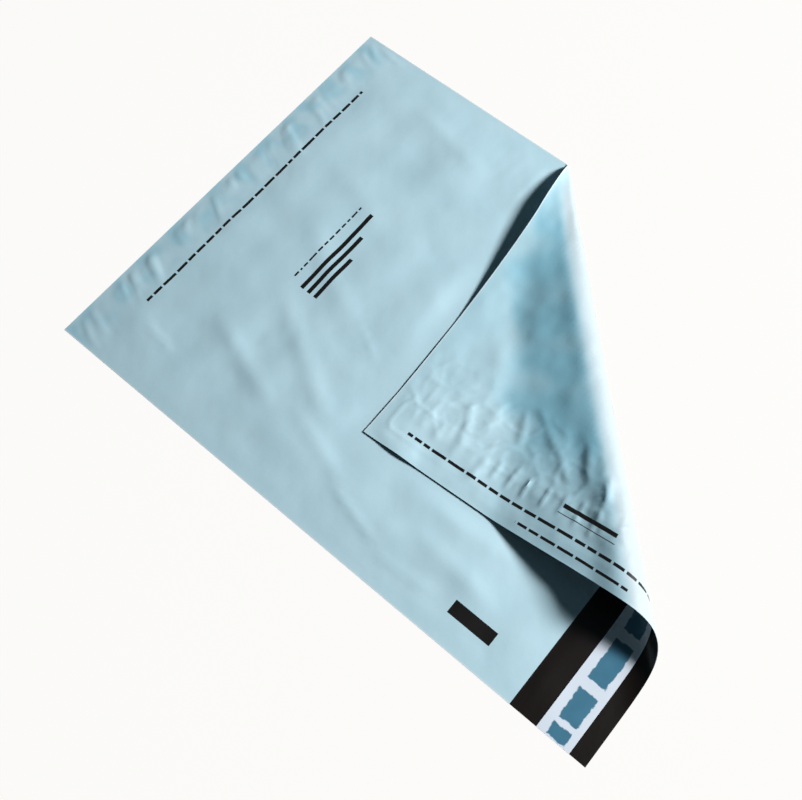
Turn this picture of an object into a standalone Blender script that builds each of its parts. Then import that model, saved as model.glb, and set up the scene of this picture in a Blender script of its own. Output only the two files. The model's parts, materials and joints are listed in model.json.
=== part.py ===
"""Poly mailer bag of co-extruded film, lying flat with one corner of its mouth rolled over.

The bag is modelled flat first, in the row frame: X across the bag, +Y towards the closed
bottom, -Y towards the sealing lip, +Z up from the surface that it lies on. The origin is on
that surface, at the middle of the flat rectangle. Every solid is then cut along the lines
of the roll, and its vertices are carried round the roll.
"""

import math

import bmesh
import bpy
from mathutils import Vector

# Bag, in metres
BAG_WIDTH = 0.250
POCKET_LENGTH = 0.298
LIP_LENGTH = 0.0424
FILM = 0.0003
POCKET_GAP = 0.0003
SIDE_WELD = 0.003
BOTTOM_FOLD = 0.0006

# Closure on the lip's inner face
LINER_FROM_MOUTH = 0.0152
LINER_WIDTH = 0.0183
LINER_THICKNESS = 0.0002
GLUE_MARGIN = 0.0020
GLUE_THICKNESS = 0.0002

# Clearance between pieces that touch, and under the flap that lies on the panel
CLEARANCE = 0.0003

# Rolled corner: where its crease starts on the long edge, and the way it heads
ROLL_FROM_BOTTOM = 0.1464
ROLL_BEARING = math.radians(137.05)
ROLL_RADIUS_AT_LIP = 0.0131
ROLL_OVERTURN = math.radians(52.5)
BACK_BEND_RATIO = 0.3
SETTLE_BEND_RATIO = 3.0
FLAP_SLOPE = math.radians(14.7)

# The flap's long edge stands off the panel near the start of the crease, and bows inwards
EDGE_LIFT = 0.0093
EDGE_LIFT_REACH = 0.1228
EDGE_BOW = 0.0066

# Fineness of the faceted roll
BEND_CUTS = (16, 2, 5, 2)
FLAP_CUTS = (0.3, 0.4, 0.5, 0.6, 0.7, 0.8, 0.9)
CROSS_CUTS = 18
CROSS_CUT_SPREAD = 1.25

# Heights of the layers above the outer face of the back panel
STACK = 2 * FILM + POCKET_GAP
GLUE_BASE = FILM + CLEARANCE
LINER_BASE = GLUE_BASE + GLUE_THICKNESS + CLEARANCE
LIP_STACK = LINER_BASE + LINER_THICKNESS
LAY_HEIGHT = STACK + CLEARANCE + max(STACK, LIP_STACK)

FILM_LENGTH = POCKET_LENGTH + LIP_LENGTH
RIGHT = BAG_WIDTH / 2
LEFT = -RIGHT
BOTTOM_END = FILM_LENGTH / 2
LIP_END = -BOTTOM_END
MOUTH = BOTTOM_END - POCKET_LENGTH

# The crease's start, its direction, and the direction across it towards the rolled corner
CREASE_START = Vector((RIGHT, BOTTOM_END - ROLL_FROM_BOTTOM, 0))
ALONG = Vector((-math.sin(ROLL_BEARING), math.cos(ROLL_BEARING), 0))
ACROSS = Vector((-math.cos(ROLL_BEARING), -math.sin(ROLL_BEARING), 0))
EDGE_RATIO = ACROSS.y / ALONG.y
CREASE_LENGTH = (FILM_LENGTH - ROLL_FROM_BOTTOM) / -ALONG.y

# The smallest roll that still clears what lies under it, at the crease's start
DROP_RATIO = (
    1
    + math.cos(ROLL_OVERTURN)
    - BACK_BEND_RATIO * (math.cos(FLAP_SLOPE) - math.cos(ROLL_OVERTURN))
    - SETTLE_BEND_RATIO * (1 - math.cos(FLAP_SLOPE))
)
ROLL_RADIUS_AT_START = LAY_HEIGHT / DROP_RATIO

# Working values: how far a cutter stands out, the step that a normal is taken over, the
# distance at which a cut snaps to a vertex, and how far past its edge the flap is worked out
CUTTER_EXCESS = 0.01
NORMAL_STEP = 0.00002
CUT_SNAP = 0.00003
EDGE_OVERRUN = 1.2


def clamp01(value):
    return min(max(value, 0.0), 1.0)


def edge_share(along, across):
    """How much of the long edge's lift a place on the flap has: none at the crease, all at the edge."""
    edge = EDGE_RATIO * along
    return min(across / edge, EDGE_OVERRUN) ** 2 if edge > 0 else 1.0


def lift_profile(reach):
    """Rises from nothing to 1 a third of the way along the lifted edge, and falls to nothing."""
    reach = clamp01(reach)
    return 27 / 4 * reach * (1 - reach) ** 2


def roll_radius(along):
    """The roll is part of a cone, so its radius grows evenly along the crease."""
    growth = (ROLL_RADIUS_AT_LIP - ROLL_RADIUS_AT_START) / CREASE_LENGTH
    return ROLL_RADIUS_AT_START + growth * along


def roll_bends(radius):
    """The bends of the roll's section, as (length, curvature), in the order the film meets them.

    The film turns up and over past the vertical, bends back to a shallow slope, runs down
    that slope, and bends back once more to lie flat on the panel.
    """
    back = BACK_BEND_RATIO * radius
    settle = SETTLE_BEND_RATIO * radius
    fall = radius * DROP_RATIO - LAY_HEIGHT
    return (
        (radius * (math.pi + ROLL_OVERTURN), 1 / radius),
        (back * (ROLL_OVERTURN - FLAP_SLOPE), -1 / back),
        (max(fall, 0.0) / math.sin(FLAP_SLOPE), 0.0),
        (settle * FLAP_SLOPE, -1 / settle),
    )


def walk(bends, distance):
    """Offset and height reached after a distance along the bends, and straight on after them."""
    offset = height = heading = 0.0
    for length, curvature in (*bends, (math.inf, 0.0)):
        step = min(distance, length)
        turned = heading + curvature * step
        if curvature:
            offset += (math.sin(turned) - math.sin(heading)) / curvature
            height += (math.cos(heading) - math.cos(turned)) / curvature
        else:
            offset += step * math.cos(heading)
            height += step * math.sin(heading)
        heading = turned
        distance -= step
        if distance <= 0:
            break
    return offset, height


def roll_start(bends):
    """How far before the crease the roll starts, so that the flap lies mirrored about it."""
    total = sum(length for length, curvature in bends)
    return (total + walk(bends, total)[0]) / 2


def outer_face(flat):
    """Where a point of the bag's outer face goes when the corner is rolled over."""
    place = flat - CREASE_START
    along = place.dot(ALONG)
    across = place.dot(ACROSS)
    bends = roll_bends(roll_radius(along))
    start = roll_start(bends)
    if across <= -start:
        return Vector((flat.x, flat.y, 0))
    offset, height = walk(bends, across + start)
    offset -= start
    if across > 0:
        down_edge = along / -ALONG.y
        share = edge_share(along, across)
        height += EDGE_LIFT * share * lift_profile(down_edge / EDGE_LIFT_REACH)
        edge_place = clamp01(down_edge / (FILM_LENGTH - ROLL_FROM_BOTTOM))
        offset += EDGE_BOW * share * math.sin(math.pi * edge_place)
    return CREASE_START + along * ALONG + offset * ACROSS + Vector((0, 0, height))


def rolled(flat):
    """Where a point of the flat bag goes: its height is kept along the rolled face's normal."""
    base = outer_face(flat)
    step_x = Vector((NORMAL_STEP, 0, 0))
    step_y = Vector((0, NORMAL_STEP, 0))
    slope_x = outer_face(flat + step_x) - outer_face(flat - step_x)
    slope_y = outer_face(flat + step_y) - outer_face(flat - step_y)
    return base + flat.z * slope_x.cross(slope_y).normalized()


def cut(shape, faces, point, other):
    """Cuts the faces by the upright plane through two points."""
    normal = (other - point).cross(Vector((0, 0, 1))).normalized()
    edges = {edge for face in faces for edge in face.edges}
    verts = {vert for face in faces for vert in face.verts}
    bmesh.ops.bisect_plane(
        shape,
        geom=[*faces, *edges, *verts],
        dist=CUT_SNAP,
        plane_co=point,
        plane_no=normal,
    )


def on_sheet(along, across):
    return CREASE_START + along * ALONG + across * ACROSS


def bend_lines():
    """Each cutting line of the roll, as its two places across the crease, at its two ends."""
    ends = []
    for radius in (roll_radius(0), roll_radius(CREASE_LENGTH)):
        bends = roll_bends(radius)
        place = -roll_start(bends)
        places = []
        for (length, curvature), cuts in zip(bends, BEND_CUTS):
            places += [place + length * index / cuts for index in range(cuts)]
            place += length
        ends.append([*places, place])
    return list(zip(*ends))


def past_roll_start(face):
    place = face.calc_center_median() - CREASE_START
    start = roll_start(roll_bends(roll_radius(place.dot(ALONG))))
    return place.dot(ACROSS) > -start


def roll_over(obj):
    """Cuts a flat solid along the roll's lines and carries its corner round the roll."""
    shape = bmesh.new()
    shape.from_mesh(obj.data)
    for near, far in bend_lines():
        cut(shape, shape.faces[:], on_sheet(0, near), on_sheet(CREASE_LENGTH, far))
    corner = [face for face in shape.faces if past_roll_start(face)]
    for share in FLAP_CUTS:
        far = on_sheet(CREASE_LENGTH, share * EDGE_RATIO * CREASE_LENGTH)
        cut(shape, corner, CREASE_START, far)
        corner = [face for face in shape.faces if past_roll_start(face)]
    for index in range(1, CROSS_CUTS):
        along = CREASE_LENGTH * (index / CROSS_CUTS) ** CROSS_CUT_SPREAD
        cut(shape, corner, on_sheet(along, 0), on_sheet(along, 1))
        corner = [face for face in shape.faces if past_roll_start(face)]
    bmesh.ops.dissolve_degenerate(shape, dist=CUT_SNAP, edges=shape.edges[:])
    bmesh.ops.triangulate(shape, faces=shape.faces[:], quad_method="SHORT_EDGE")
    for vert in shape.verts:
        vert.co = rolled(vert.co)
    shape.to_mesh(obj.data)
    shape.free()


def slab(name, low, high):
    """A box between two corners, as an object."""
    mesh = bpy.data.meshes.new(name)
    shape = bmesh.new()
    bmesh.ops.create_cube(shape, size=1.0)
    low = Vector(low)
    high = Vector(high)
    bmesh.ops.scale(shape, verts=shape.verts[:], vec=high - low)
    bmesh.ops.translate(shape, verts=shape.verts[:], vec=(low + high) / 2)
    shape.to_mesh(mesh)
    shape.free()
    obj = bpy.data.objects.new(name, mesh)
    bpy.context.scene.collection.objects.link(obj)
    return obj


def cut_away(obj, cutter):
    """Takes a cutter's shape out of a solid, and removes the cutter."""
    modifier = obj.modifiers.new("cut_away", "BOOLEAN")
    modifier.operation = "DIFFERENCE"
    modifier.object = cutter
    graph = bpy.context.evaluated_depsgraph_get()
    mesh = bpy.data.meshes.new_from_object(obj.evaluated_get(graph))
    obj.modifiers.clear()
    obj.data = mesh
    bpy.data.objects.remove(cutter)


def material(name, colour, roughness):
    made = bpy.data.materials.new(name)
    made.use_nodes = True
    shader = made.node_tree.nodes["Principled BSDF"]
    shader.inputs["Base Color"].default_value = (*colour, 1)
    shader.inputs["Roughness"].default_value = roughness
    shader.inputs["Metallic"].default_value = 0.0
    made.diffuse_color = (*colour, 1)
    return made


def paint_inner_faces(obj, inner_slot):
    """Gives the black inner colour to each face of the flat bag that the back panel's film bounds above."""
    for face in obj.data.polygons:
        inner_level = abs(face.center.z - FILM) < FILM / 4
        pocket_roof = abs(face.center.z - FILM - POCKET_GAP) < FILM / 4
        if inner_level or (pocket_roof and face.normal.z < 0):
            face.material_index = inner_slot


def build_film_bag():
    """One sheet folded at the bottom and welded along both long edges, its back panel left longer as the lip."""
    bag = slab("film_bag", (LEFT, LIP_END, 0), (RIGHT, BOTTOM_END, STACK))
    past_end = LIP_END - CUTTER_EXCESS
    over_lip = slab(
        "over_lip",
        (LEFT - CUTTER_EXCESS, past_end, FILM),
        (RIGHT + CUTTER_EXCESS, MOUTH, STACK + CUTTER_EXCESS),
    )
    cut_away(bag, over_lip)
    pocket = slab(
        "pocket",
        (LEFT + SIDE_WELD, past_end, FILM),
        (RIGHT - SIDE_WELD, BOTTOM_END - BOTTOM_FOLD, FILM + POCKET_GAP),
    )
    cut_away(bag, pocket)
    bag.data.materials.clear()
    bag.data.materials.append(material("film_outside", (0.40, 0.61, 0.68), 0.38))
    bag.data.materials.append(material("film_inside", (0.012, 0.008, 0.007), 0.42))
    paint_inner_faces(bag, 1)
    roll_over(bag)


def build_adhesive_strip():
    """The band of hot-melt glue that the liner covers, along the whole lip."""
    top = MOUTH - LINER_FROM_MOUTH - GLUE_MARGIN
    low = MOUTH - LINER_FROM_MOUTH - LINER_WIDTH + GLUE_MARGIN
    strip = slab(
        "adhesive_strip",
        (LEFT + GLUE_MARGIN, low, GLUE_BASE),
        (RIGHT - GLUE_MARGIN, top, GLUE_BASE + GLUE_THICKNESS),
    )
    strip.data.materials.append(material("hot_melt_glue", (0.62, 0.56, 0.40), 0.25))
    roll_over(strip)


def build_release_liner():
    """The peel-off strip over the glue, as long as the bag is wide."""
    top = MOUTH - LINER_FROM_MOUTH
    liner = slab(
        "release_liner",
        (LEFT, top - LINER_WIDTH, LINER_BASE),
        (RIGHT, top, LINER_BASE + LINER_THICKNESS),
    )
    liner.data.materials.append(material("siliconed_liner", (0.80, 0.87, 0.91), 0.30))
    roll_over(liner)


def main():
    for obj in list(bpy.data.objects):
        bpy.data.objects.remove(obj)
    build_film_bag()
    build_adhesive_strip()
    build_release_liner()


main()
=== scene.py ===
"""Poly mailer bag: its film, its sealing lip and its liner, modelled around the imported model."""

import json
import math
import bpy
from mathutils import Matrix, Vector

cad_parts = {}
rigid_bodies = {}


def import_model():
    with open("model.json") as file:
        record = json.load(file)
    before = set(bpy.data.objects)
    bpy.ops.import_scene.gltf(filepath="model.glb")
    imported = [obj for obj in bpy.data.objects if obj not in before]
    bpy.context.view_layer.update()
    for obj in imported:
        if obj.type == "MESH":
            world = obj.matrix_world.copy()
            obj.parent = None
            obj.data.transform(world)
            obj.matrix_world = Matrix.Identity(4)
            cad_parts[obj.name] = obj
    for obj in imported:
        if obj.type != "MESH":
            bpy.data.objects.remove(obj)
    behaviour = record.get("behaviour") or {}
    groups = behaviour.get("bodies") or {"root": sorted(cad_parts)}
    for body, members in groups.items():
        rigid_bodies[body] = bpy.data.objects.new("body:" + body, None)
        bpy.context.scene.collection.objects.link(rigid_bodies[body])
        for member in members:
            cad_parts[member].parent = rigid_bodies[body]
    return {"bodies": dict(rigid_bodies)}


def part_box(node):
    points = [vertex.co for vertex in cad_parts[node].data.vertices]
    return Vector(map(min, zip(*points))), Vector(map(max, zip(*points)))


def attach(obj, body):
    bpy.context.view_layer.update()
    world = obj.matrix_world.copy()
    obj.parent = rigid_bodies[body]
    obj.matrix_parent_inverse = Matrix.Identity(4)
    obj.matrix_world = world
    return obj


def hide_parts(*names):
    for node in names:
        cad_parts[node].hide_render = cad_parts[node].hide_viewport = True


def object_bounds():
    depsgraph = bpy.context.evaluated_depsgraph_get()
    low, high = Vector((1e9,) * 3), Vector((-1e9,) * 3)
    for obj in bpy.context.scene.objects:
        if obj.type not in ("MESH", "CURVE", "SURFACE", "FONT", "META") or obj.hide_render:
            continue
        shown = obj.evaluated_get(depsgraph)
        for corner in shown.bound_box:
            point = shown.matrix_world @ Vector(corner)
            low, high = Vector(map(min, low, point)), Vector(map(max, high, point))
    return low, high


bl_info = {
    "name": "Poly Mailer Bag",
    "version": (1, 0, 0),
    "blender": (4, 5, 0),
    "location": "3D View > Sidebar > Mailer",
    "description": "Models a courier mailing bag that lies flat with one corner rolled over",
    "category": "Add Mesh",
}

import bmesh
import bpy
import numpy as np
from mathutils import Matrix, Vector

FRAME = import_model()
CAD_LOW, CAD_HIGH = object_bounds()
BAG_LOW, BAG_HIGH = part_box("film_bag")
BODY = next(iter(FRAME["bodies"]))

MM = 0.001
BAG_WIDTH = BAG_HIGH.x - BAG_LOW.x
FILM_LENGTH = BAG_HIGH.y - BAG_LOW.y
BOTTOM_END = BAG_HIGH.y
LIP_END = BAG_LOW.y
LEFT = BAG_LOW.x
RIGHT = BAG_HIGH.x


def length_property(name, default, description):
    return bpy.props.FloatProperty(
        name=name, description=description, default=default, unit="LENGTH", precision=5
    )


def angle_property(name, degrees, description):
    return bpy.props.FloatProperty(
        name=name, description=description, default=math.radians(degrees), subtype="ANGLE"
    )


def colour_property(name, default, description):
    return bpy.props.StringProperty(name=name, description=description, default=default)


class BagSizes(bpy.types.PropertyGroup):
    """Sizes of the bag, its roll and its wrinkles."""

    lip_length: length_property("Lip", 0.0424, "How far the back panel runs on past the mouth")
    film: length_property("Film", 0.00012, "Thickness of the film")
    stack: length_property("Stack", 0.0005, "Height of the flat bag, over both its panels")
    mesh_step: length_property("Mesh step", 0.0024, "Spacing of the film's mesh")
    roll_from_bottom: length_property(
        "Roll start", 0.1464, "From the closed bottom to the crease, on the long edge"
    )
    roll_bearing: angle_property(
        "Roll bearing", 137.05, "Way the crease heads, from the closed bottom's direction"
    )
    roll_radius: length_property("Roll radius", 0.0136, "Outer radius of the roll at the lip")
    roll_radius_start: length_property(
        "Start radius", 0.0012, "Outer radius of the roll where the crease starts"
    )
    roll_top_radius: length_property(
        "Top radius", 0.0095, "Radius of the slack top of the roll, away from the lip"
    )
    roll_slack_radius: length_property(
        "Slack radius", 0.013, "Radius at which the film starts down from the top of the roll"
    )
    roll_overturn: angle_property("Overturn", 52.5, "How far past level the roll turns at the lip")
    roll_overturn_inside: angle_property("Overturn inside", 34, "The same, further up the bag")
    flap_slope: angle_property(
        "Flap slope", 14.7, "Slope of the flap down to the panel at the lip"
    )
    flap_slope_inside: angle_property("Slope inside", 17, "The same, further up the bag")
    lay_height: length_property(
        "Lay height", 0.0014, "Height of the flap's outer face where it lies on the panel"
    )
    edge_lift: length_property(
        "Edge lift", 0.0098, "How far the flap's long edge stands off the panel"
    )
    edge_lift_reach: length_property(
        "Lift reach", 0.1228, "Length of the long edge that stands off"
    )
    edge_wave: length_property("Edge wave", 0.0011, "How far the long edge waves about its bow")
    edge_bow: length_property("Edge bow", 0.0066, "How far the long edge bows inwards")
    swell: length_property("Swell", 0.0011, "Height of the broad undulations of the front panel")
    bottom_ripple: length_property(
        "Bottom ripples", 0.0003, "Height of the ripples beside the closed bottom"
    )
    pucker: length_property("Puckers", 0.001, "Height of a full pucker over the glue on the flap")
    crinkle: length_property("Crinkle", 0.0007, "Height of the soft crinkles of the flap")
    liner_from_mouth: length_property("Liner place", 0.0152, "From the mouth to the liner")
    liner_width: length_property("Liner width", 0.0183, "Width of the release liner")
    glue_margin: length_property(
        "Glue margin", 0.0020, "How far the liner stands out past the glue"
    )


class BagColours(bpy.types.PropertyGroup):
    """Colours, as sRGB hex values."""

    film_outside: colour_property("Film outside", "#B4D1DC", "Blue-grey outer layer of the film")
    film_inside: colour_property("Film inside", "#0F0807", "Black inner layer of the film")
    weld: colour_property("Weld", "#C4D8E0", "Pale rim of the welded long edges")
    ink: colour_property("Ink", "#0C0807", "Black printing ink")
    glue: colour_property("Glue", "#C9BE9A", "Hot-melt glue")
    liner: colour_property("Liner", "#D8E2EE", "Bluish white release liner")
    liner_print: colour_property("Liner print", "#3D6C83", "Blue blocks on the liner")
    floor: colour_property("Floor", "#FCFBF9", "Pale studio floor")


def sizes():
    return bpy.context.scene.mailer_sizes


def colours():
    return bpy.context.scene.mailer_colours


# Flat layout, as distances in metres

def down(place_y):
    """Distance from the closed bottom of a place on the flat bag."""
    return BOTTOM_END - place_y


def mouth_y():
    return LIP_END + sizes().lip_length


def from_long_edge(place_x):
    """Distance from the nearer long edge."""
    return np.minimum(place_x - LEFT, RIGHT - place_x)


def flat_place(from_edge, from_bottom):
    """Place on the flat bag, from its free long edge and the closed bottom, in mm."""
    return LEFT + from_edge * MM, BOTTOM_END - from_bottom * MM


# Curves that the shapes are made of

def between(first, second, share):
    """The value at a share of the way from the first to the second."""
    return first + (second - first) * share


def waves(x, y, wavelength, seed, count=14, spread=0.35):
    """Smooth noise of about unit height: plane waves of one wavelength, in every direction."""
    random = np.random.default_rng(seed)
    total = np.zeros_like(x)
    for turn in random.uniform(0, 2 * math.pi, count):
        number = 2 * math.pi / (wavelength * random.uniform(1 - spread, 1 + spread))
        phase = random.uniform(0, 2 * math.pi)
        total += np.sin(number * (x * math.cos(turn) + y * math.sin(turn)) + phase)
    return total / math.sqrt(count / 2)


def ramp(value, low, high):
    """Rises smoothly from 0 at low to 1 at high."""
    share = np.clip((value - low) / (high - low), 0, 1)
    return share * share * (3 - 2 * share)


def hump(value, centre, half):
    """1 at the centre, falling smoothly to 0 at half a width to each side."""
    return ramp(half - np.abs(value - centre), 0, half)


# The roll

def roll_axes():
    """Where the crease starts, the way it runs, and the way across it to the rolled corner."""
    bearing = sizes().roll_bearing
    start = np.array([RIGHT, BOTTOM_END - sizes().roll_from_bottom])
    along = np.array([-math.sin(bearing), math.cos(bearing)])
    across = np.array([-math.cos(bearing), -math.sin(bearing)])
    return start, along, across


def crease_place(x, y):
    """How far each flat place is along the crease, from its start, and across it."""
    start, along_way, across_way = roll_axes()
    along = (x - start[0]) * along_way[0] + (y - start[1]) * along_way[1]
    across = (x - start[0]) * across_way[0] + (y - start[1]) * across_way[1]
    return along, across


# Where the roll changes, as shares of the crease's length, and how it starts
ROUND_FROM = 0.5
ROUND_BY = 0.86
STEEP_BY = 0.35
STEEP_START = math.radians(27)
START_FROM = -2 * MM
START_BY = 25 * MM
START_SHARE = 0.25

# Bends, as ratios of the roll's outer radius. Inside is up the bag, away from the lip
TIGHT_TURN = math.radians(110)
TIGHT_RATIO = 0.75
BACK_BEND_RATIO = 0.3
BACK_BEND_RATIO_INSIDE = 1.5
SETTLE_BEND_RATIO = 3.0
SETTLE_BEND_RATIO_INSIDE = 6.0
OUTER_SETBACK = 0.72
ROLL_SOFTNESS = 0.6
SOFT_TAPS = 9

# How many of the bends come before the roll's crest, and before the end of the slope down from it
TO_CREST = 2
TO_SLOPE_END = 5

# The flap's long edge. The lift's peak factor brings its greatest height to the given one
LIFT_HELD = 0.8
LIFT_PEAK = 5.34
LIFT_RISE = 0.8
LIFT_FALL = 2
EDGE_CURVE = 1.5
EDGE_WIDEST = 1.2
EDGE_HALF_WAVES = 2.6


def roll_lengths(x, y):
    """Each flat place's distance along and across the crease, and the roll's radius and bends."""
    size = sizes()
    along, across = crease_place(x, y)
    crease = (FILM_LENGTH - size.roll_from_bottom) / -math.cos(size.roll_bearing)
    place = np.clip(along / crease, 0, None)
    to_lip = ramp(place, ROUND_FROM, ROUND_BY)
    from_start = between(START_SHARE, 1, ramp(along, START_FROM, START_BY))
    radius = between(size.roll_radius_start, size.roll_radius, place)
    overturn = between(size.roll_overturn_inside, size.roll_overturn, to_lip)
    slope = between(STEEP_START, size.flap_slope_inside, ramp(place, 0, STEEP_BY))
    slope = between(slope, size.flap_slope, to_lip)

    # The roll is round at the lip. Further up it is a drop: tight at its outer side, slack on top
    tight = radius * between(TIGHT_RATIO, 1, to_lip)
    top = between(size.roll_top_radius * from_start, radius, to_lip)
    slack = between(size.roll_slack_radius * from_start, radius, to_lip)
    back = radius * between(BACK_BEND_RATIO_INSIDE, BACK_BEND_RATIO, to_lip)
    settle = radius * between(SETTLE_BEND_RATIO_INSIDE, SETTLE_BEND_RATIO, to_lip)
    fall = tight * (1 - math.cos(TIGHT_TURN)) + top * (1 + math.cos(TIGHT_TURN))
    fall = fall - slack * (1 - np.cos(overturn)) - back * (np.cos(slope) - np.cos(overturn))
    fall = np.maximum(fall - settle * (1 - np.cos(slope)) - size.lay_height, 0)
    bends = (
        (tight * TIGHT_TURN, 1 / tight),
        (top * (math.pi - TIGHT_TURN), 1 / top),
        (slack * overturn, 1 / slack),
        (back * (overturn - slope), -1 / back),
        (fall / np.sin(slope), None),
        (settle * slope, -1 / settle),
    )
    return along, across, radius, bends


def bends_end(bends, count):
    """Distance along the film to the end of the first few bends."""
    return sum(length for length, curvature in bends[:count])


def walk(bends, distance):
    """Offset and height after a distance along the bends, which run straight on at both ends."""
    offset = np.minimum(distance, 0)
    height = np.zeros_like(distance)
    heading = np.zeros_like(distance)
    left = distance.copy()
    for length, curvature in bends:
        step = np.clip(left, 0, length)
        if curvature is None:
            offset += step * np.cos(heading)
            height += step * np.sin(heading)
        else:
            turned = heading + curvature * step
            offset += (np.sin(turned) - np.sin(heading)) / curvature
            height += (np.cos(heading) - np.cos(turned)) / curvature
            heading = turned
        left = left - length
    rest = np.maximum(left, 0)
    return offset + rest * np.cos(heading), height + rest * np.sin(heading)


def soft_walk(bends, distance, reach):
    """The same walk with its bends softened, as the mean of the places within reach along it."""
    walks = [walk(bends, distance + tap * reach) for tap in np.linspace(-1, 1, SOFT_TAPS)]
    offset = sum(offset for offset, height in walks) / SOFT_TAPS
    height = sum(height for offset, height in walks) / SOFT_TAPS
    return offset, height


def roll_start(bends):
    """How far before the crease the roll begins, so the flap lies where a plain fold puts it."""
    total = bends_end(bends, len(bends))
    return (total + walk(bends, total)[0]) / 2


def outward_shift(radius, start, gone, bends):
    """Keeps the roll's outer side on one straight line, as it is on an even cone."""
    outer_side = walk(bends, bends[0][0] * math.radians(90) / TIGHT_TURN)[0] - start
    back_down = ramp(gone, bends_end(bends, TO_CREST), bends_end(bends, TO_SLOPE_END))
    return (-OUTER_SETBACK * radius - outer_side) * ramp(gone, 0, bends[0][0]) * (1 - back_down)


def flap_share(x, y):
    """0 where the bag lies flat, 1 on the rolled corner, with the crease between them."""
    _, across, _, bends = roll_lengths(x, y)
    start = roll_start(bends)
    return ramp(across, -start, np.maximum(start, 1 * MM))


def outer_face(x, y):
    """Where each place of the bag's outer face goes when the corner is rolled over."""
    size = sizes()
    origin, along_way, across_way = roll_axes()
    along, across, radius, bends = roll_lengths(x, y)
    start = roll_start(bends)
    reach = ROLL_SOFTNESS * radius
    offset, height = soft_walk(bends, across + start, reach)
    offset = offset - start + outward_shift(radius, start, across + start, bends)

    # The long edge stands off the panel: the flap comes down only as far as the lift lets it
    down_edge = along / -along_way[1]
    place = np.clip(down_edge / size.edge_lift_reach, 0, 1)
    lift = size.edge_lift * LIFT_PEAK * place ** LIFT_RISE * (1 - place) ** LIFT_FALL
    edge = across_way[1] / along_way[1] * along
    width = np.where(edge > 0, np.clip(across / np.maximum(edge, 1e-9), 0, EDGE_WIDEST), 0)
    top = walk(bends, bends_end(bends, TO_CREST))[1]
    fall = np.maximum(top - size.lay_height, 0.1 * MM)
    come_down = np.where(across > 0, np.clip((top - height) / fall, 0, 1), 0)
    past_top = ramp(across, 0, 2 * radius)
    held = np.minimum(lift, LIFT_HELD * fall)
    height = height + held * come_down * past_top + (lift - held) * width ** EDGE_CURVE

    share = np.clip(down_edge / (FILM_LENGTH - size.roll_from_bottom), 0, 1)
    bow = size.edge_bow * np.sin(math.pi * share)
    bow = bow + size.edge_wave * np.sin(EDGE_HALF_WAVES * math.pi * share)
    offset = offset + bow * width ** EDGE_CURVE
    flat = across <= -start - reach
    place_x = origin[0] + along * along_way[0] + offset * across_way[0]
    place_y = origin[1] + along * along_way[1] + offset * across_way[1]
    places = (np.where(flat, x, place_x), np.where(flat, y, place_y), np.where(flat, 0, height))
    return np.stack(places, -1)


def rolled(x, y, height):
    """Carries flat places round the roll, each at its height off the bag's outer face."""
    step = 0.02 * MM
    slope_x = outer_face(x + step, y) - outer_face(x - step, y)
    slope_y = outer_face(x, y + step) - outer_face(x, y - step)
    normal = np.cross(slope_x, slope_y)
    normal /= np.linalg.norm(normal, axis=-1, keepdims=True)
    return outer_face(x, y) + normal * height[:, None]


# Wrinkles, as heights over the flat bag. Each wave has its wavelength and the seed of its noise

FOOTPRINT_MARGIN = 14 * MM
EDGE_MARGIN = 0.5 * MM


def footprint(x, y):
    """1 where the flap lies on the front panel, falling to 0 some way outside it."""
    origin, along_way, across_way = roll_axes()
    along, across = crease_place(x, y)
    flap_x = origin[0] + along * along_way[0] - across * across_way[0]
    flap_y = origin[1] + along * along_way[1] - across * across_way[1]
    inside = ramp(RIGHT - flap_x, -FOOTPRINT_MARGIN, 0)
    inside = inside * ramp(flap_y - LIP_END, -FOOTPRINT_MARGIN, 0)
    return inside * ramp(-across, -FOOTPRINT_MARGIN, 0)


def edge_fade(x, y, inner):
    """0 at the long edges and the closed bottom, rising to 1 inside them."""
    return ramp(from_long_edge(x), EDGE_MARGIN, inner) * ramp(down(y), EDGE_MARGIN, inner)


def ridge(x, y, start, end, width):
    """1 along a line between two places in mm, falling to 0 over its width and towards its ends."""
    start, end = np.array(flat_place(*start)), np.array(flat_place(*end))
    way = end - start
    length = np.linalg.norm(way)
    way = way / length
    along = (x - start[0]) * way[0] + (y - start[1]) * way[1]
    apart = (x - start[0]) * way[1] - (y - start[1]) * way[0]
    fade_from, fade_by = -0.15 * length, 0.25 * length
    ends = ramp(along, fade_from, fade_by) * ramp(length - along, fade_from, fade_by)
    return ends * np.exp(-((apart / (width * MM)) ** 2))


# Creases in mm: start and end, each from the free long edge and the bottom, half width, height
FRONT_CREASES = (
    ((31, 30), (27, 54), 1.8, 0.45),
    ((56, 62), (38, 116), 5.0, 0.80),
    ((88, 78), (50, 142), 6.0, 0.90),
    ((44, 126), (30, 170), 4.5, 0.70),
    ((26, 168), (17, 204), 2.2, 0.50),
    ((104, 116), (90, 142), 1.3, 0.25),
    ((130, 60), (96, 120), 7.0, 0.70),
    ((60, 170), (52, 232), 6.0, 0.70),
    ((34, 214), (30, 262), 5.0, 0.60),
    ((170, 40), (150, 96), 7.0, 0.60),
    ((226, 60), (214, 112), 5.0, 0.50),
    ((55, 200), (61, 232), 2.4, 0.40),
    ((13, 204), (17, 240), 2.6, 0.40),
)
FLAP_CREASES = (
    ((182, 280), (163, 295), 2.4, 0.42),
    ((164, 292), (149, 306), 2.2, 0.46),
    ((176, 262), (160, 286), 4.5, 0.40),
    ((199, 284), (201, 308), 3.0, 0.55),
    ((188, 284), (181, 302), 2.2, 0.55),
    ((214, 296), (206, 312), 2.6, 0.50),
    ((150, 284), (140, 300), 3.0, 0.80),
    ((222, 262), (206, 286), 6.0, 0.80),
    ((133, 292), (127, 306), 2.0, 0.70),
    ((220, 214), (208, 250), 7.0, 0.60),
)
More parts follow.
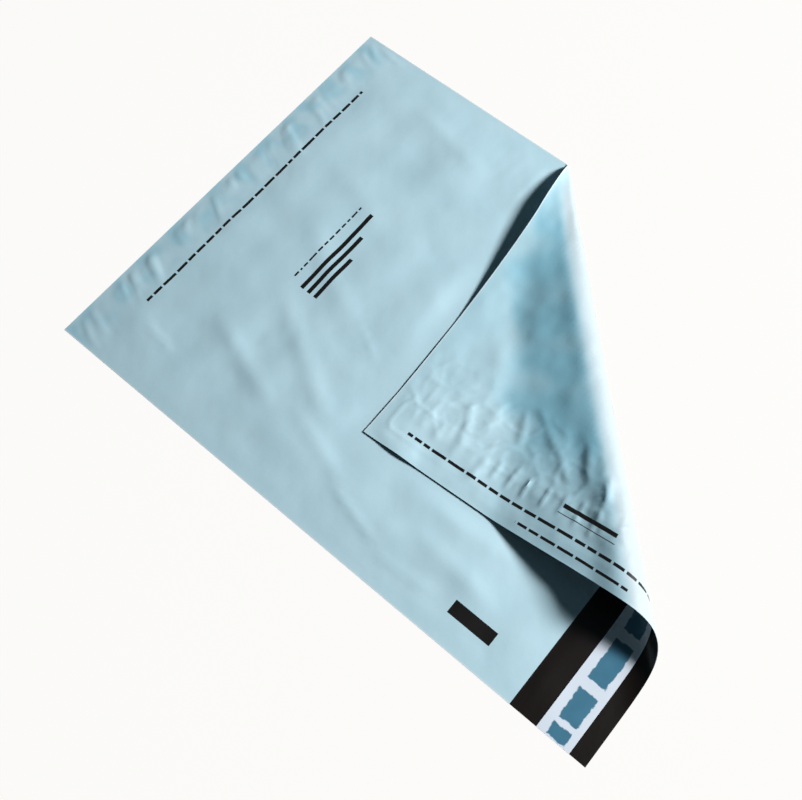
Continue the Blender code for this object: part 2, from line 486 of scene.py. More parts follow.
PUCKERS = (
    ((128, 310), (127, 324), 1.3, 0.50),
    ((137, 309), (136, 323), 1.2, 0.60),
    ((146, 310), (145.5, 322), 1.1, 0.55),
    ((155, 311), (155, 323), 1.1, 0.70),
    ((166, 312), (166, 324), 1.1, 0.75),
    ((174, 311), (175, 324), 1.2, 0.70),
    ((183, 313), (184, 324), 1.6, 0.55),
    ((191, 316), (192, 330), 2.2, 0.60),
    ((206, 312), (207, 326), 3.0, 0.55),
    ((218, 314), (219, 324), 2.6, 0.40),
    ((228, 313), (228, 322), 2.4, 0.40),
)


def crease_heights(x, y, creases):
    """Summed height of a list of creases."""
    total = 0
    for start, end, width, height in creases:
        total = total + height * MM * ridge(x, y, start, end, width)
    return total


def front_wrinkles(x, y):
    """How far the front panel stands off the back one: swells, dents, creases and ripples."""
    size = sizes()
    swell = 0.5 + 0.34 * waves(x, y, 85 * MM, 11) + 0.20 * waves(x, y, 38 * MM, 12)
    swell = np.clip(swell, 0, None) * edge_fade(x, y, 30 * MM) * size.swell
    dents = (0.2 + 0.05 * waves(x, y, 19 * MM, 13) + 0.018 * waves(x, y, 9 * MM, 14)) * MM
    dents = dents * edge_fade(x, y, 9 * MM)
    lines = crease_heights(x, y, FRONT_CREASES) * edge_fade(x, y, 9 * MM)
    calm = (1 - footprint(x, y)) * (1 - ramp(flap_share(x, y), 0, 0.5))
    return (swell + dents + lines) * calm + bottom_ripples(x, y)


def bottom_ripples(x, y):
    """The film gathers unevenly beside the closed bottom, in short soft ripples across it."""
    from_bottom = down(y)
    level = np.zeros_like(y)
    slant = x + 0.35 * from_bottom + 0.8 * MM * waves(x, y, 30 * MM, 23)
    squeezed = 0.12 * from_bottom
    ridges = np.clip(waves(slant, squeezed, 7.5 * MM, 21, 18, 0.45) + 1.0, 0, None)
    reach = (17 + 4 * waves(x, level, 19 * MM, 24, 9)) * MM
    patches = np.clip(0.55 + 0.40 * waves(x, level, 30 * MM, 22, 9), 0.05, 1.5)
    band = ramp(from_bottom, 1 * MM, 6 * MM) * ramp(reach * 1.5 - from_bottom, 0, reach)
    sides = ramp(from_long_edge(x), 0, 8 * MM)
    return sizes().bottom_ripple * ridges * patches * band * sides


OUTLINE_CORNER = 5 * MM
OUTLINE_FROM_EDGE = 7 * MM
OUTLINE_WIDTH = 0.9 * MM
OUTLINE_HEIGHT = 0.32 * MM


def liner_outline(x, y):
    """The end of the liner and its glue shows through the film as a raised, rounded line."""
    size = sizes()
    high = mouth_y() - size.liner_from_mouth
    low = high - size.liner_width
    middle_y = (high + low) / 2
    inner_x = RIGHT - OUTLINE_FROM_EDGE - OUTLINE_CORNER
    reach_y = size.liner_width / 2 - OUTLINE_CORNER
    out_x = np.maximum(x - inner_x, 0)
    out_y = np.maximum(np.abs(y - middle_y) - reach_y, 0)
    apart = np.hypot(out_x, out_y) - OUTLINE_CORNER
    fade = between(0.25, 1, ramp(x, RIGHT - 40 * MM, RIGHT - 20 * MM))
    return OUTLINE_HEIGHT * np.exp(-((apart / OUTLINE_WIDTH) ** 2)) * fade


def crumple(x, y, wavelength, seed):
    """Flat facets between sharp ridges, as in film that was crushed: 1 on a ridge, 0 between."""
    return np.clip(1 - np.abs(waves(x, y, wavelength, seed)) * 1.1, 0, 1) ** 1.5


SLIT_HEIGHT = 1.3 * MM
SLIT_PLACE = 229 * MM
SLIT_HALF = 15 * MM


def flap_wrinkles(x, y):
    """How far the rolled corner's film stands out: crinkles, creases and puckers over the glue."""
    size = sizes()
    lip = y - LIP_END
    soft = 0.22 * waves(x, y, 46 * MM, 31) + 0.12 * waves(x, y, 21 * MM, 32)
    soft += 0.08 * waves(x, y, 11 * MM, 33)
    near_glue = ramp(-lip, -75 * MM, -30 * MM) * ramp(lip, 14 * MM, 26 * MM)
    soft += near_glue * (0.55 * crumple(x, y, 26 * MM, 36) + 0.30 * crumple(x, y, 13 * MM, 38))
    puckers = size.pucker / MM * crease_heights(x, y, PUCKERS)
    lines = crease_heights(x, y, FLAP_CREASES) + puckers + liner_outline(x, y)
    rim = ramp(RIGHT - x, 0, 10 * MM) * ramp(lip, 0, 6 * MM)
    crinkles = size.crinkle * (soft + 0.4) * between(0.25, 1, rim)

    # The lip's edge gapes a little over the panel, near the tip of the rolled corner
    slit = SLIT_HEIGHT * hump(x - LEFT, SLIT_PLACE, SLIT_HALF) * ramp(-lip, -12 * MM, 0)
    return crinkles + lines + slit


def lip_wave(x, y):
    """The free lip's film is not quite flat."""
    height = (0.25 + 0.12 * waves(x, y, 40 * MM, 51)) * MM
    return height * ramp(mouth_y() - y, 0, 6 * MM) * ramp(x - LEFT, -4 * MM, 20 * MM)


def shared_height(x, y):
    """The height that all the layers at a place share, off the plain rolled form."""
    flap = flap_share(x, y)
    return lip_wave(x, y) * (1 - flap) - flap_wrinkles(x, y) * ramp(flap, 0.35, 1.0)


# Materials

def linear(hex_colour):
    """Linear colour of an sRGB hex value."""
    values = [int(hex_colour[place:place + 2], 16) / 255 for place in (1, 3, 5)]
    return (*[v / 12.92 if v <= 0.04045 else ((v + 0.055) / 1.055) ** 2.4 for v in values], 1.0)


def toned(colour, shares):
    """A colour with its red, green and blue each multiplied by a share."""
    return (*[min(value * share, 1.0) for value, share in zip(colour, shares)], 1.0)


def set_inputs(tree, node, links):
    """Sets a node's inputs, each to a value, a socket, or another node's first output."""
    for name, value in links.items():
        if isinstance(value, bpy.types.Node):
            value = value.outputs[0]
        if isinstance(value, bpy.types.NodeSocket):
            tree.links.new(value, node.inputs[name])
        else:
            node.inputs[name].default_value = value


def add_node(tree, kind, links=None, **settings):
    """Adds a node with its settings and its inputs."""
    node = tree.nodes.new(kind)
    for name, value in settings.items():
        setattr(node, name, value)
    set_inputs(tree, node, links or {})
    return node


def new_material(name):
    """An empty material with a Principled shader, and its tree and shader."""
    material = bpy.data.materials.new(name)
    material.use_nodes = True
    tree = material.node_tree
    tree.nodes.clear()
    shader = add_node(tree, "ShaderNodeBsdfPrincipled")
    add_node(tree, "ShaderNodeOutputMaterial", {"Surface": shader})
    return material, tree, shader


# Sockets of a Mix node that mixes colours
SHARE = 0
UNDER = 6
OVER = 7
MIXED = 2


def highest(tree, masks):
    """The greatest of several masks at each place."""
    total = masks[0]
    for mask in masks[1:]:
        total = add_node(tree, "ShaderNodeMath", {0: total, 1: mask}, operation="MAXIMUM")
    return total


def rectangle_mask(tree, uv, low, high, soft):
    """1 inside a rectangle of the flat bag, with a soft edge."""
    split = add_node(tree, "ShaderNodeSeparateXYZ", {0: uv})
    sides = []
    for axis in (0, 1):
        middle = (low[axis] + high[axis]) / 2
        half = (high[axis] - low[axis]) / 2
        links = {0: split.outputs[axis], 1: middle}
        offset = add_node(tree, "ShaderNodeMath", links, operation="SUBTRACT")
        apart = add_node(tree, "ShaderNodeMath", {0: offset}, operation="ABSOLUTE")
        inside = add_node(tree, "ShaderNodeMath", {0: half, 1: apart}, operation="SUBTRACT")
        links = {0: inside, 1: soft}
        sides.append(add_node(tree, "ShaderNodeMath", links, operation="DIVIDE", use_clamp=True))
    return add_node(tree, "ShaderNodeMath", {0: sides[0], 1: sides[1]}, operation="MULTIPLY")


INK_EDGE = 0.15 * MM
INK_ROUGHNESS = 0.40
BAR_GAP = 1.2 * MM
ROW_SHIFT = 7.3
WELD_WIDTH = 0.7 * MM
PANEL_SHIFT = 4 * BAG_WIDTH


def bar_mask(tree, uv, bar, shift):
    """1 on the plain bars of a printed line, 0 in the gaps between them."""
    split = add_node(tree, "ShaderNodeSeparateXYZ", {0: uv})
    bars = add_node(tree, "ShaderNodeMath", {0: split, 1: bar}, operation="DIVIDE")
    place = add_node(tree, "ShaderNodeMath", {0: bars, 1: shift}, operation="ADD")
    cells = add_node(
        tree, "ShaderNodeTexVoronoi", {"W": place, "Scale": 1.0, "Randomness": 1.0},
        voronoi_dimensions="1D", feature="DISTANCE_TO_EDGE",
    )
    links = {0: cells.outputs["Distance"], 1: BAR_GAP / bar / 2}
    far = add_node(tree, "ShaderNodeMath", links, operation="SUBTRACT")
    links = {0: far, 1: bar / INK_EDGE}
    return add_node(tree, "ShaderNodeMath", links, operation="MULTIPLY", use_clamp=True)


def on_back(from_edge, from_lip):
    """Place on the back panel's print, from its long edge and the lip's edge, in mm."""
    return LEFT + from_edge * MM + PANEL_SHIFT, LIP_END + from_lip * MM


# Printed fields: their panel, their span across it and along it in mm, and the length of the
# plain bars that they are made of, or None where they are solid
PRINTED_FIELDS = (
    (flat_place, (40, 216), (21.7, 23.5), 8),
    (flat_place, (101, 156), (73.4, 74.6), 5),
    (flat_place, (98, 156), (80.5, 83.0), None),
    (flat_place, (98, 142), (85.2, 87.7), None),
    (flat_place, (98, 128), (89.9, 92.4), None),
    (flat_place, (14, 21.5), (250, 275), None),
    (on_back, (84, 231), (11.4, 13.2), 8),
    (on_back, (98, 161), (4.3, 5.9), 10),
    (on_back, (115, 145), (23.0, 25.4), None),
    (on_back, (114, 146), (19.7, 20.3), None),
)


def print_mask(tree, uv):
    """1 where the film is printed."""
    masks = []
    for index, (place, across, along, bar) in enumerate(PRINTED_FIELDS):
        corners = (place(across[0], along[0]), place(across[1], along[1]))
        low = [min(corner[axis] for corner in corners) for axis in (0, 1)]
        high = [max(corner[axis] for corner in corners) for axis in (0, 1)]
        mask = rectangle_mask(tree, uv, low, high, INK_EDGE)
        if bar:
            links = {0: mask, 1: bar_mask(tree, uv, bar * MM, index * ROW_SHIFT)}
            mask = add_node(tree, "ShaderNodeMath", links, operation="MULTIPLY")
        masks.append(mask)
    return highest(tree, masks)


def weld_mask(tree, uv):
    """1 along the welded long edges, where the cut film is pressed into a pale rim."""
    split = add_node(tree, "ShaderNodeSeparateXYZ", {0: uv})
    place = add_node(tree, "ShaderNodeMath", {0: split, 1: BAG_WIDTH / 2}, operation="ADD")
    apart = add_node(tree, "ShaderNodeMath", {0: place, 1: BAG_WIDTH / 2}, operation="PINGPONG")
    return add_node(tree, "ShaderNodeMath", {0: apart, 1: WELD_WIDTH}, operation="LESS_THAN")


POLYTHENE_IOR = 1.51

# Sizes of the film's patterns. Its finest crinkles are too fine to show in the render, so they
# are drawn coarser than they are
CLOUD_SIZE = 26 * MM
MOTTLE_SIZE = 6 * MM
CRINKLE_SIZE = 5 * MM
CRINKLE_DEPTH = 0.3 * MM
INSIDE_CLOUD_SIZE = 12 * MM
INSIDE_CRINKLE_SIZE = 7 * MM

# Tints of a colour, as shares of its red, green and blue
TEAL = (0.88, 0.97, 0.98)
LIGHTER = (1.10, 1.10, 1.10)
DULLER = (0.97, 0.97, 0.97)
# Painted shade on the flap's slope, and the deeper patches by the closed bottom
PAINTED_SHADE_AND_PATCH_TEAL = (0.52, 0.80, 0.88)
# Painted highlight tone on the roll's lit side
PAINTED_HIGHLIGHT_GREY = (1.00, 0.84, 0.80)
WARM_BLACK = (1.35, 1.20, 1.10)


def film_outside_material():
    """Blown co-extruded polythene, blue-grey side: satin, uneven in tint, with fine crinkles,
    painted shade where it comes down off the roll and a painted highlight tone on the roll's lit
    side.
    """
    material, tree, shader = new_material("coextruded_polythene_outside")
    uv = add_node(tree, "ShaderNodeUVMap", uv_map="flat")
    base = linear(colours().film_outside)
    links = {"Vector": uv, "Scale": 1 / CLOUD_SIZE, "Detail": 3.0}
    cloud = add_node(tree, "ShaderNodeTexNoise", links)
    links = {"Vector": uv, "Scale": 1 / MOTTLE_SIZE, "Detail": 2.0}
    mottle = add_node(tree, "ShaderNodeTexNoise", links)
    dull = add_node(tree, "ShaderNodeMath", {0: mottle, 1: 0.5}, operation="MULTIPLY")
    # Painted shade on the flap's slope and near the crease's start, and deeper patches by the closed
    # bottom
    painted_shade_and_tint = add_node(tree, "ShaderNodeAttribute", attribute_name="painted_shade_and_tint")
    # Painted highlight: a greyer blue on the roll's lit side
    painted_highlight = add_node(tree, "ShaderNodeAttribute", attribute_name="grey")
    ink = print_mask(tree, uv)
    layers = (
        (cloud, toned(base, LIGHTER)),
        (dull, toned(base, DULLER)),
        (painted_shade_and_tint.outputs["Fac"], toned(base, PAINTED_SHADE_AND_PATCH_TEAL)),
        (painted_highlight.outputs["Fac"], toned(base, PAINTED_HIGHLIGHT_GREY)),
        (weld_mask(tree, uv), linear(colours().weld)),
        (ink, linear(colours().ink)),
    )
    tint = toned(base, TEAL)
    for share, colour in layers:
        links = {SHARE: share, UNDER: tint, OVER: colour}
        tint = add_node(tree, "ShaderNodeMix", links, data_type="RGBA").outputs[MIXED]
    satin = add_node(tree, "ShaderNodeMapRange", {"Value": mottle, "To Min": 0.48, "To Max": 0.58})
    rough = add_node(tree, "ShaderNodeMix", {0: ink, 2: satin, 3: INK_ROUGHNESS})
    links = {"Vector": uv, "Scale": 1 / CRINKLE_SIZE, "Detail": 4.0, "Roughness": 0.55}
    crinkle = add_node(tree, "ShaderNodeTexNoise", links)
    links = {"Strength": 0.25, "Distance": CRINKLE_DEPTH, "Height": crinkle}
    bump = add_node(tree, "ShaderNodeBump", links)
    set_inputs(tree, shader, {
        "Base Color": tint,
        "Roughness": rough,
        "IOR": POLYTHENE_IOR,
        "Specular IOR Level": 0.4,
        "Sheen Weight": 0.25,
        "Sheen Roughness": 0.45,
        "Normal": bump,
    })
    return material


def film_inside_material():
    """The same film's carbon-black inner layer: a warm black, a little glossier."""
    material, tree, shader = new_material("coextruded_polythene_inside")
    uv = add_node(tree, "ShaderNodeUVMap", uv_map="flat")
    base = linear(colours().film_inside)
    links = {"Vector": uv, "Scale": 1 / INSIDE_CLOUD_SIZE, "Detail": 2.0}
    cloud = add_node(tree, "ShaderNodeTexNoise", links)
    links = {SHARE: cloud, UNDER: base, OVER: toned(base, WARM_BLACK)}
    tint = add_node(tree, "ShaderNodeMix", links, data_type="RGBA")
    links = {"Vector": uv, "Scale": 1 / INSIDE_CRINKLE_SIZE, "Detail": 3.0}
    crinkle = add_node(tree, "ShaderNodeTexNoise", links)
    links = {"Strength": 0.3, "Distance": CRINKLE_DEPTH, "Height": crinkle}
    bump = add_node(tree, "ShaderNodeBump", links)
    set_inputs(tree, shader, {
        "Base Color": tint.outputs[MIXED],
        "Roughness": 0.33,
        "IOR": POLYTHENE_IOR,
        "Normal": bump,
    })
    return material


GLUE_CLOUD_SIZE = 8 * MM


def glue_material():
    """Hot-melt pressure-sensitive glue: a clear straw colour, glossy and a little uneven."""
    material, tree, shader = new_material("hot_melt_glue")
    uv = add_node(tree, "ShaderNodeUVMap", uv_map="flat")
    base = linear(colours().glue)
    links = {"Vector": uv, "Scale": 1 / GLUE_CLOUD_SIZE, "Detail": 2.0}
    cloud = add_node(tree, "ShaderNodeTexNoise", links)
    links = {SHARE: cloud, UNDER: toned(base, (0.8, 0.8, 0.8)), OVER: base}
    tint = add_node(tree, "ShaderNodeMix", links, data_type="RGBA")
    set_inputs(tree, shader, {"Base Color": tint.outputs[MIXED], "Roughness": 0.22})
    return material


# The liner's blocks: where each starts and ends along it, in mm, their two edges across it, how
# far those wander, and the sizes of the liner's patterns
LINER_BLOCKS = ((0.5, 7.5), (10.0, 27.0), (32.0, 55.5), (60.5, 75.0))
BLOCK_HIGH = 4.5 * MM
BLOCK_LOW = 15.0 * MM
BLOCK_EDGE = 0.5 * MM
BLOCK_WANDER = 2.8 * MM
WANDER_SIZE = 4 * MM
BLOCK_CLOUD_SIZE = 9 * MM
LINER_CLOUD_SIZE = 14 * MM


def liner_material():
    """Silicone-coated film liner: bluish white and smooth, with blue blocks printed on it."""
    material, tree, shader = new_material("siliconed_liner")
    uv = add_node(tree, "ShaderNodeUVMap", uv_map="flat")
    base = linear(colours().liner)
    blue = linear(colours().liner_print)
    top = mouth_y() - sizes().liner_from_mouth

    # The blocks are masked at places that wander, so that their edges are uneven
    links = {"Vector": uv, "Scale": 1 / WANDER_SIZE, "Detail": 3.0}
    uneven = add_node(tree, "ShaderNodeTexNoise", links)
    centred = add_node(tree, "ShaderNodeMath", {0: uneven, 1: 0.5}, operation="SUBTRACT")
    wander = add_node(tree, "ShaderNodeMath", {0: centred, 1: BLOCK_WANDER}, operation="MULTIPLY")
    shift = add_node(tree, "ShaderNodeCombineXYZ", {0: wander, 1: wander})
    shaped = add_node(tree, "ShaderNodeVectorMath", {0: uv, 1: shift}, operation="ADD")
    blocks = []
    for from_edge, to_edge in LINER_BLOCKS:
        low = (LEFT + from_edge * MM, top - BLOCK_LOW)
        high = (LEFT + to_edge * MM, top - BLOCK_HIGH)
        blocks.append(rectangle_mask(tree, shaped, low, high, BLOCK_EDGE))

    tints = []
    for size, first, second in (
        (LINER_CLOUD_SIZE, base, toned(base, (0.93, 0.93, 0.93))),
        (BLOCK_CLOUD_SIZE, blue, toned(blue, (1.35, 1.35, 1.35))),
    ):
        links = {"Vector": uv, "Scale": 1 / size, "Detail": 2.0}
        cloud = add_node(tree, "ShaderNodeTexNoise", links)
        links = {SHARE: cloud, UNDER: first, OVER: second}
        tints.append(add_node(tree, "ShaderNodeMix", links, data_type="RGBA").outputs[MIXED])
    links = {SHARE: highest(tree, blocks), UNDER: tints[0], OVER: tints[1]}
    printed = add_node(tree, "ShaderNodeMix", links, data_type="RGBA")
    set_inputs(tree, shader, {"Base Color": printed.outputs[MIXED], "Roughness": 0.30})
    return material


# Meshes

def flat_grid(shape, low, high, step, columns=0):
    """A flat grid of squares between two corners, in as many columns as are given."""
    across = columns or max(round((high[0] - low[0]) / step), 1)
    length = max(round((high[1] - low[1]) / step), 1)
    made = bmesh.ops.create_grid(shape, x_segments=across, y_segments=length, size=0.5)
    verts = made["verts"]
    bmesh.ops.scale(shape, verts=verts, vec=(high[0] - low[0], high[1] - low[1], 1))
    bmesh.ops.translate(shape, verts=verts, vec=((low[0] + high[0]) / 2, (low[1] + high[1]) / 2, 0))
    return verts


def refine(shape, chosen):
    """Splits each face whose middle the test chooses into four."""
    faces = [face for face in shape.faces if chosen(face.calc_center_median())]
    edges = list({edge for face in faces for edge in face.edges})
    bmesh.ops.subdivide_edges(shape, edges=edges, cuts=1, use_grid_fill=True)


def coordinates(shape):
    return np.array([vert.co for vert in shape.verts])


def store_painted_light_and_tints(shape):
    """Stores at each vertex the share of painted shade and deeper patches, and the share of painted
    highlight grey, in the film's blue there.
    """
    painted_shade_and_tint_layer = shape.verts.layers.float.new("painted_shade_and_tint")
    painted_highlight_layer = shape.verts.layers.float.new("grey")
    flat = coordinates(shape)
    x, y = flat[:, 0], flat[:, 1]
    along, across, _, bends = roll_lengths(x, y)
    gone = across + roll_start(bends)
    crest = bends_end(bends, TO_CREST)
    past_crest = ramp(gone, crest, crest + 5 * MM)

    # Painted shade: the blue is painted deeper where the film comes down off the roll, on the slope
    # that faces away from the light
    fade_out = bends_end(bends, TO_SLOPE_END) + 5 * MM * waves(x, y, 34 * MM, 62)
    painted_shade_and_tint = past_crest * (1 - ramp(gone, fade_out - 7 * MM, fade_out + 21 * MM))
    painted_shade_and_tint = painted_shade_and_tint * np.clip(0.95 + 0.10 * waves(x, y, 30 * MM, 61), 0, 1)
    painted_shade_and_tint = painted_shade_and_tint * ramp(along, 5 * MM, 45 * MM)
    painted_shade_and_tint = painted_shade_and_tint * between(0.25, 1, ramp(y - LIP_END, 22 * MM, 60 * MM))
    # Painted shade on the flap near the crease's start, past the roll's crest
    painted_shade_and_tint = np.maximum(painted_shade_and_tint, 0.25 * past_crest * ramp(-along, -150 * MM, -60 * MM))

    # The blue is also deeper in patches beside the closed bottom
    bottom_patches = np.clip(0.4 + 0.6 * waves(x, y, 17 * MM, 63), 0, 1)
    painted_shade_and_tint = np.maximum(painted_shade_and_tint, 0.45 * bottom_patches * ramp(-down(y), -24 * MM, -8 * MM))

    # Painted highlight: the blue is painted greyer on the roll's outer side up to its crest, which
    # faces the light, so its highlight reads grey-white
    bent = ramp(gone, 0, 2 * MM) * (1 - ramp(gone, crest - 4 * MM, crest + 3 * MM))
    grey = bent * ramp(along, 0, 30 * MM)
    for vert, painted_shade_and_tint_share, painted_highlight_share in zip(shape.verts, painted_shade_and_tint, grey):
        vert[painted_shade_and_tint_layer] = painted_shade_and_tint_share
        vert[painted_highlight_layer] = painted_highlight_share


def store_flat_uv(shape, back_faces=()):
    """Writes each face's flat place to the UV map. The back panel's stands well to the side."""
    layer = shape.loops.layers.uv.new("flat")
    back = set(back_faces)
    for face in shape.faces:
        shift = PANEL_SHIFT if face in back else 0.0
        for loop in face.loops:
            loop[layer].uv = (loop.vert.co.x + shift, loop.vert.co.y)


def place_verts(shape, height):
    """Moves each vertex to its place round the roll. The heights are off the plain outer face."""
    flat = coordinates(shape)
    for vert, place in zip(shape.verts, rolled(flat[:, 0], flat[:, 1], height)):
        vert.co = place


def new_object(name, shape, materials):
    """An object with a bmesh's shape, in the scene. The bmesh is used up."""
    mesh = bpy.data.meshes.new(name)
    for face in shape.faces:
        face.smooth = True
    shape.to_mesh(mesh)
    shape.free()
    for material in materials:
        mesh.materials.append(material)
    obj = bpy.data.objects.new(name, mesh)
    bpy.context.scene.collection.objects.link(obj)
    return obj


CRISP_ANGLE = math.radians(50)


def thicken(obj, thickness, inner_slots=0):
    """Gives a sheet its thickness, inwards from its outer face, with crisp cut edges."""
    modifier = obj.modifiers.new("thickness", "SOLIDIFY")
    modifier.thickness = thickness
    modifier.offset = -1
    modifier.material_offset = inner_slots
    modifier.material_offset_rim = 0
    graph = bpy.context.evaluated_depsgraph_get()
    sheet = obj.data
    obj.data = bpy.data.meshes.new_from_object(
        obj.evaluated_get(graph), preserve_all_data_layers=True, depsgraph=graph
    )
    obj.modifiers.clear()
    bpy.data.meshes.remove(sheet)
    obj.data.set_sharp_from_angle(angle=CRISP_ANGLE)


def seat(obj, node):
    """The piece moves with the bag and stands for its solid, which is hidden."""
    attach(obj, BODY)
    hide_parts(node)


MOUTH_SLACK = 0.01 * MM


def film_sheet():
    """The flat back panel with its lip. Its mesh is finer where the film is most bent."""
    step = sizes().mesh_step
    shape = bmesh.new()
    columns = round(BAG_WIDTH / step)
    flat_grid(shape, (LEFT, LIP_END), (RIGHT, mouth_y()), step, columns)
    flat_grid(shape, (LEFT, mouth_y()), (RIGHT, BOTTOM_END), step, columns)
    bmesh.ops.remove_doubles(shape, verts=shape.verts[:], dist=0.4 * step)
    crease_start = Vector((*roll_axes()[0], 0))
    refine(shape, lambda place: (place - crease_start).length < 45 * MM)
    refine(shape, lambda place: (place - crease_start).length < 20 * MM)
    refine(shape, lambda place: down(place.y) < 24 * MM)
    refine(shape, lambda place: place.y - LIP_END < 60 * MM and place.x - LEFT > 110 * MM)
    return shape


def add_front_panel(shape):
    """Lays the front panel over the back one, joined to it all round except at the mouth."""
    pocket = [face for face in shape.faces if face.calc_center_median().y > mouth_y()]
    made = bmesh.ops.extrude_face_region(shape, geom=pocket, use_keep_orig=True)
    front = [item for item in made["geom"] if isinstance(item, bmesh.types.BMVert)]
    bmesh.ops.translate(shape, verts=front, vec=(0, 0, sizes().stack))
    mouth_wall = [
        face for face in shape.faces
        if abs(face.calc_center_median().y - mouth_y()) < MOUTH_SLACK
    ]
    bmesh.ops.delete(shape, geom=mouth_wall, context="FACES_ONLY")


class MAILER_OT_film_bag(bpy.types.Operator):
    """Model the bag's film: both panels, the open mouth, the lip and the rolled corner"""

    bl_idname = "mailer.film_bag"
    bl_label = "Film Bag"

    def execute(self, context):
        size = sizes()
        shape = film_sheet()
        back = shape.faces[:]
        add_front_panel(shape)
        store_flat_uv(shape, back)
        store_painted_light_and_tints(shape)
        bmesh.ops.recalc_face_normals(shape, faces=shape.faces[:])
        flat = coordinates(shape)
        x, y, level = flat.T
        height = level + shared_height(x, y)
        height += np.where(level > size.stack / 2, front_wrinkles(x, y), 0)
        place_verts(shape, height)

        # Triangles give both faces of the film the same diagonals, so the inner one stays hidden
        bmesh.ops.triangulate(shape, faces=shape.faces[:])
        materials = (film_outside_material(), film_inside_material())
        bag = new_object("film_bag_skin", shape, materials)
        thicken(bag, size.film, 1)
        seat(bag, "film_bag")
        return {"FINISHED"}


def lip_band(name, low, high, base, thickness, step, materials):
    """A band along the lip's inner face, carried round the roll with it."""
    shape = bmesh.new()
    flat_grid(shape, low, high, step)
    store_flat_uv(shape)
    flat = coordinates(shape)
    x, y = flat[:, 0], flat[:, 1]
    place_verts(shape, base + thickness + shared_height(x, y))
    obj = new_object(name, shape, materials)
    thicken(obj, thickness)
    return obj


# The strips' layers, off the lip's inner face, and the spacing of their meshes
GLUE_CLEARANCE = 0.14 * MM
GLUE_THICKNESS = 0.10 * MM
GLUE_STEP = 1.2 * MM
LINER_CLEARANCE = 0.08 * MM
LINER_THICKNESS = 0.07 * MM
LINER_STEP = 1.0 * MM


class MAILER_OT_closure(bpy.types.Operator):
    """Model the glue and the release liner on the lip"""

    bl_idname = "mailer.closure"
    bl_label = "Glue and Liner"

    def execute(self, context):
        size = sizes()
        top = mouth_y() - size.liner_from_mouth
        low = top - size.liner_width
        margin = size.glue_margin
        glue_base = size.film + GLUE_CLEARANCE
        glue = lip_band(
            "adhesive_strip_bead", (LEFT + margin, low + margin), (RIGHT - margin, top - margin),
            glue_base, GLUE_THICKNESS, GLUE_STEP, [glue_material()],
        )
        seat(glue, "adhesive_strip")
        liner = lip_band(
            "release_liner_strip", (LEFT, low), (RIGHT, top),
            glue_base + GLUE_THICKNESS + LINER_CLEARANCE, LINER_THICKNESS, LINER_STEP,
            [liner_material()],
        )
        seat(liner, "release_liner")
        return {"FINISHED"}


# Stage

CAMERA_PLACE = Vector((-180.66, -131.12, 481.67)) * MM
CAMERA_AIM = Vector((-42.32, 6.02, 0.0)) * MM
CAMERA_ROLL = math.radians(5.04)
CAMERA_LENS = 45.7

KEY_WAY = (0.485, -0.622, 0.615)
KEY_DISTANCE = 1.3
KEY_SIZE = 0.30
KEY_POWER = 27.0

FLOOR_SIZE = 2.0
FLOOR_GAP = 0.05 * MM
FLOOR_GLOW = 0.97

WHITE = (1.0, 1.0, 1.0, 1.0)
SKY_TINT = (0.6, 0.88, 1.0, 1.0)
SKY_STRENGTH = 0.055


def add_camera():
    """The camera looks steeply down on the bag, from beyond its lip's free corner."""
    data = bpy.data.cameras.new("camera")
    data.lens = CAMERA_LENS
    data.sensor_width = 36
    data.clip_start = 0.01
    camera = bpy.data.objects.new("camera", data)
    turn = (CAMERA_AIM - CAMERA_PLACE).to_track_quat("-Z", "Y").to_matrix()
    turn = turn @ Matrix.Rotation(-CAMERA_ROLL, 3, "Z")
    camera.matrix_world = Matrix.Translation(CAMERA_PLACE) @ turn.to_4x4()
    bpy.context.scene.collection.objects.link(camera)
    bpy.context.scene.camera = camera


def add_light(name, way, distance, size, power):
    """A square soft light, seen from the bag's middle in the given direction."""
    data = bpy.data.lights.new(name, "AREA")
    data.shape = "SQUARE"
    data.size = size
    data.energy = power
    light = bpy.data.objects.new(name, data)
    way = Vector(way).normalized()
    light.location = way * distance
    light.rotation_euler = (-way).to_track_quat("-Z", "Y").to_euler()
    bpy.context.scene.collection.objects.link(light)


def floor_material():
    """Matt pale studio paper, which the camera and the film's gloss see nearly as its own colour."""
    material, tree, shader = new_material("studio_paper")
    colour = linear(colours().floor)
    set_inputs(tree, shader, {"Base Color": colour, "Roughness": 0.9, "Specular IOR Level": 0.1})
    lit = add_node(tree, "ShaderNodeEmission", {"Color": colour, "Strength": 1.0})
    rays = add_node(tree, "ShaderNodeLightPath")
    kinds = ("Is Camera Ray", "Is Glossy Ray", "Is Transmission Ray")
    seen = highest(tree, [rays.outputs[kind] for kind in kinds])
    glow = add_node(tree, "ShaderNodeMath", {0: seen, 1: FLOOR_GLOW}, operation="MULTIPLY")
    mixed = add_node(tree, "ShaderNodeMixShader", {0: glow, 1: shader, 2: lit})
    output = next(node for node in tree.nodes if node.type == "OUTPUT_MATERIAL")
    set_inputs(tree, output, {"Surface": mixed})
    return material


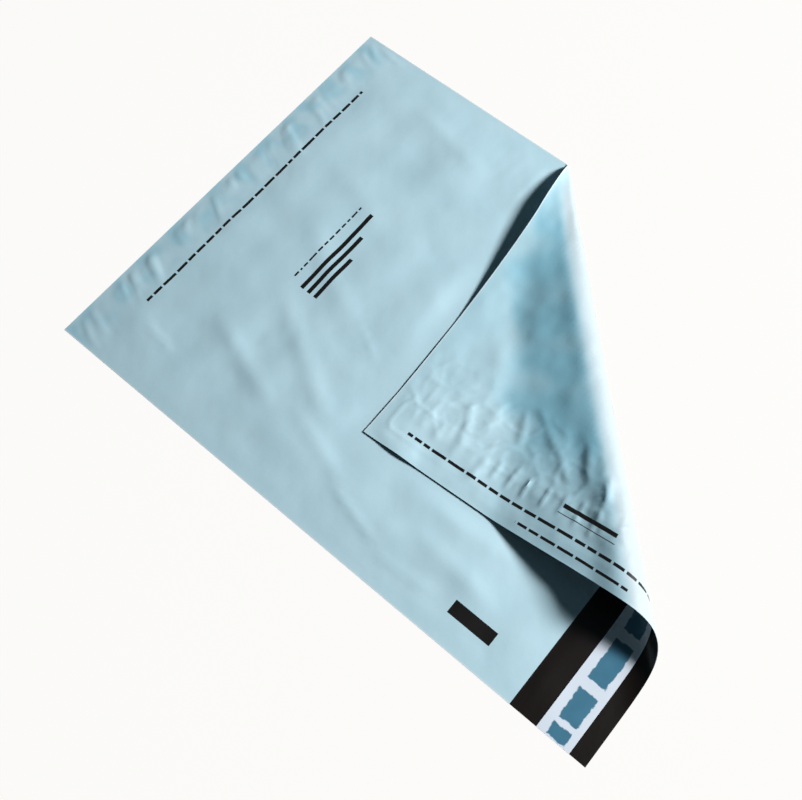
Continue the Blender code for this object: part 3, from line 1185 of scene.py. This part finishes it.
class MAILER_OT_stage(bpy.types.Operator):
    """Set up the floor, the lights, the world and the camera"""

    bl_idname = "mailer.stage"
    bl_label = "Stage"

    def execute(self, context):
        shape = bmesh.new()
        bmesh.ops.create_grid(shape, x_segments=1, y_segments=1, size=FLOOR_SIZE)
        bmesh.ops.translate(shape, verts=shape.verts[:], vec=(0, 0, CAD_LOW.z - FLOOR_GAP))
        floor = new_object("floor", shape, [floor_material()])
        world = bpy.data.worlds.new("studio")
        world.use_nodes = True
        tree = world.node_tree

        # The bag has no metal or glass, and its black film stays black only under a sky that is dim
        rays = add_node(tree, "ShaderNodeLightPath")
        seen = rays.outputs["Is Camera Ray"]
        links = {SHARE: seen, UNDER: SKY_TINT, OVER: WHITE}
        tint = add_node(tree, "ShaderNodeMix", links, data_type="RGBA")
        links = {"Value": seen, "To Min": SKY_STRENGTH, "To Max": 1.0}
        strength = add_node(tree, "ShaderNodeMapRange", links)
        links = {"Color": tint.outputs[MIXED], "Strength": strength}
        set_inputs(tree, tree.nodes["Background"], links)
        context.scene.world = world
        add_light("key_light", KEY_WAY, KEY_DISTANCE, KEY_SIZE, KEY_POWER)
        add_camera()
        context.scene.view_settings.view_transform = "Standard"
        return {"FINISHED"}


class MAILER_PT_panel(bpy.types.Panel):
    """Lists the steps that make the bag, and its sizes and colours"""

    bl_idname = "MAILER_PT_panel"
    bl_label = "Poly Mailer Bag"
    bl_space_type = "VIEW_3D"
    bl_region_type = "UI"
    bl_category = "Mailer"

    def draw(self, context):
        for step in STEPS:
            self.layout.operator(step.bl_idname)
        for group in (context.scene.mailer_sizes, context.scene.mailer_colours):
            column = self.layout.column()
            for name in group.bl_rna.properties.keys():
                if name not in ("rna_type", "name"):
                    column.prop(group, name)


STEPS = (MAILER_OT_film_bag, MAILER_OT_closure, MAILER_OT_stage)
CLASSES = (BagSizes, BagColours, *STEPS, MAILER_PT_panel)


def register():
    for made in CLASSES:
        bpy.utils.register_class(made)
    bpy.types.Scene.mailer_sizes = bpy.props.PointerProperty(type=BagSizes)
    bpy.types.Scene.mailer_colours = bpy.props.PointerProperty(type=BagColours)


def unregister():
    del bpy.types.Scene.mailer_colours
    del bpy.types.Scene.mailer_sizes
    for made in reversed(CLASSES):
        bpy.utils.unregister_class(made)


def main():
    register()
    bpy.ops.mailer.film_bag()
    bpy.ops.mailer.closure()
    bpy.ops.mailer.stage()


if __name__ == "__main__":
    main()
